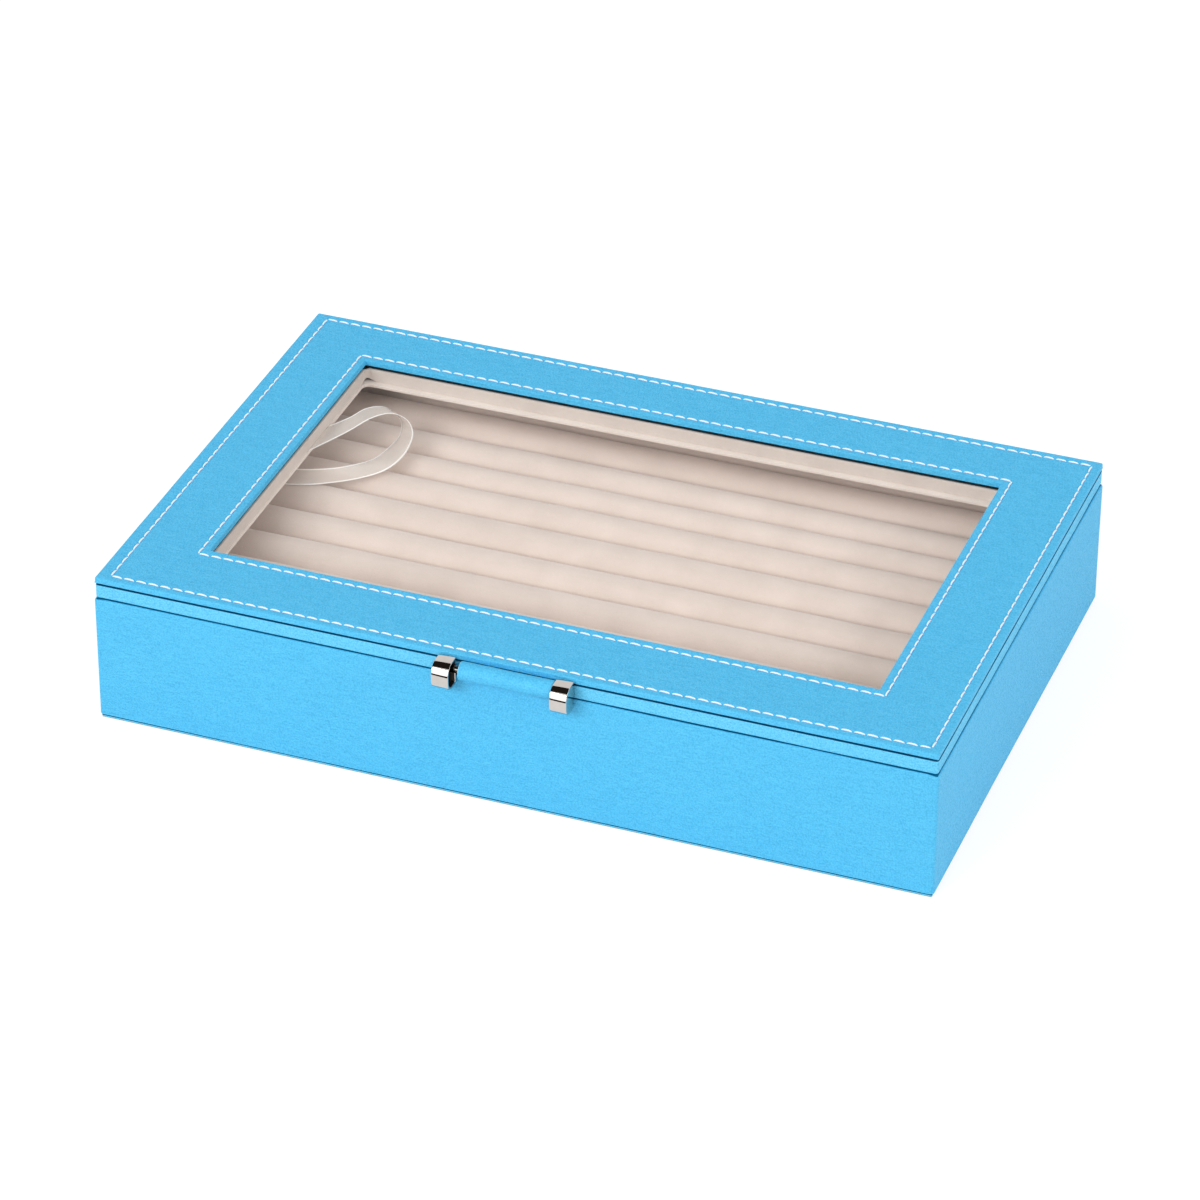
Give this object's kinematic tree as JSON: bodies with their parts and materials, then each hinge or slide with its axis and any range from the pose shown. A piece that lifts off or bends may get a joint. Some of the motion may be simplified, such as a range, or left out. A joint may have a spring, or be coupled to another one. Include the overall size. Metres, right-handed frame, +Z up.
{
  "type": "ring display box",
  "caption": "Leather-wrapped ring display box with a hinged, glazed and stitched lid, velvet ring rolls inside, a ribbon stay and a leather roll handle on chrome end caps.",
  "frame": {"origin": "middle of the underside, halfway between the case's sides and between its front and back faces", "axes": "+X to the right along the case's width, +Y to the back where the hinges are, +Z up; the handle is on the front, at -Y"},
  "size_m": [0.2914, 0.2015, 0.055],
  "materials": {
    "blue_leather": "fine pebble grain, satin",
    "board": "sanded fibreboard",
    "card": "stiff grey card",
    "cream_velvet": "short-pile velvet",
    "white_thread": "waxed sewing thread",
    "ribbon": "sheer organza with woven edges",
    "pane": "clear, polished",
    "polished_chrome": "polished",
    "hinge_steel": "nickel plated, satin"
  },
  "bodies": {
    "base": {"bottom_cover": "blue_leather", "floor_board": "board", "front_wall": "board", "back_wall": "board", "left_wall": "board", "right_wall": "board", "base_leather": "blue_leather", "front_lining": "cream_velvet", "back_lining": "cream_velvet", "left_lining": "cream_velvet", "right_lining": "cream_velvet", "insert_board": "board", "ring_roll_01": "cream_velvet", "ring_roll_02": "cream_velvet", "ring_roll_03": "cream_velvet", "ring_roll_04": "cream_velvet", "ring_roll_05": "cream_velvet", "ring_roll_06": "cream_velvet", "ring_roll_07": "cream_velvet", "ring_roll_08": "cream_velvet", "ring_roll_09": "cream_velvet", "ring_roll_10": "cream_velvet", "base_hinge_leaf_left": "hinge_steel", "base_hinge_leaf_right": "hinge_steel", "hinge_pin_left": "hinge_steel", "hinge_pin_right": "hinge_steel", "base_hinge_screws": "hinge_steel", "stay_ribbon": "ribbon"},
    "lid": {"lid_band_leather": "blue_leather", "panel_leather": "blue_leather", "handle_grip": "blue_leather", "lid_frame_front": "board", "lid_frame_back": "board", "lid_frame_left": "board", "lid_frame_right": "board", "panel_board": "card", "edge_velvet_front": "cream_velvet", "edge_velvet_back": "cream_velvet", "edge_velvet_left": "cream_velvet", "edge_velvet_right": "cream_velvet", "lid_lining_front": "cream_velvet", "lid_lining_back": "cream_velvet", "lid_lining_left": "cream_velvet", "lid_lining_right": "cream_velvet", "outer_stitching": "white_thread", "inner_stitching": "white_thread", "glass_pane": "pane", "handle_cap_left": "polished_chrome", "handle_cap_right": "polished_chrome", "handle_rod": "polished_chrome", "lid_hinge_leaf_left": "hinge_steel", "lid_hinge_leaf_right": "hinge_steel", "lid_hinge_screws": "hinge_steel"}
  },
  "joints": [
    {"name": "lid_hinge", "type": "hinge", "parent": "base", "child": "lid", "pos_m": [0, 0.0971, 0.0472], "axis": [-1, 0, 0], "range_deg": [0, 92], "deforming": ["stay_ribbon"]}
  ]
}
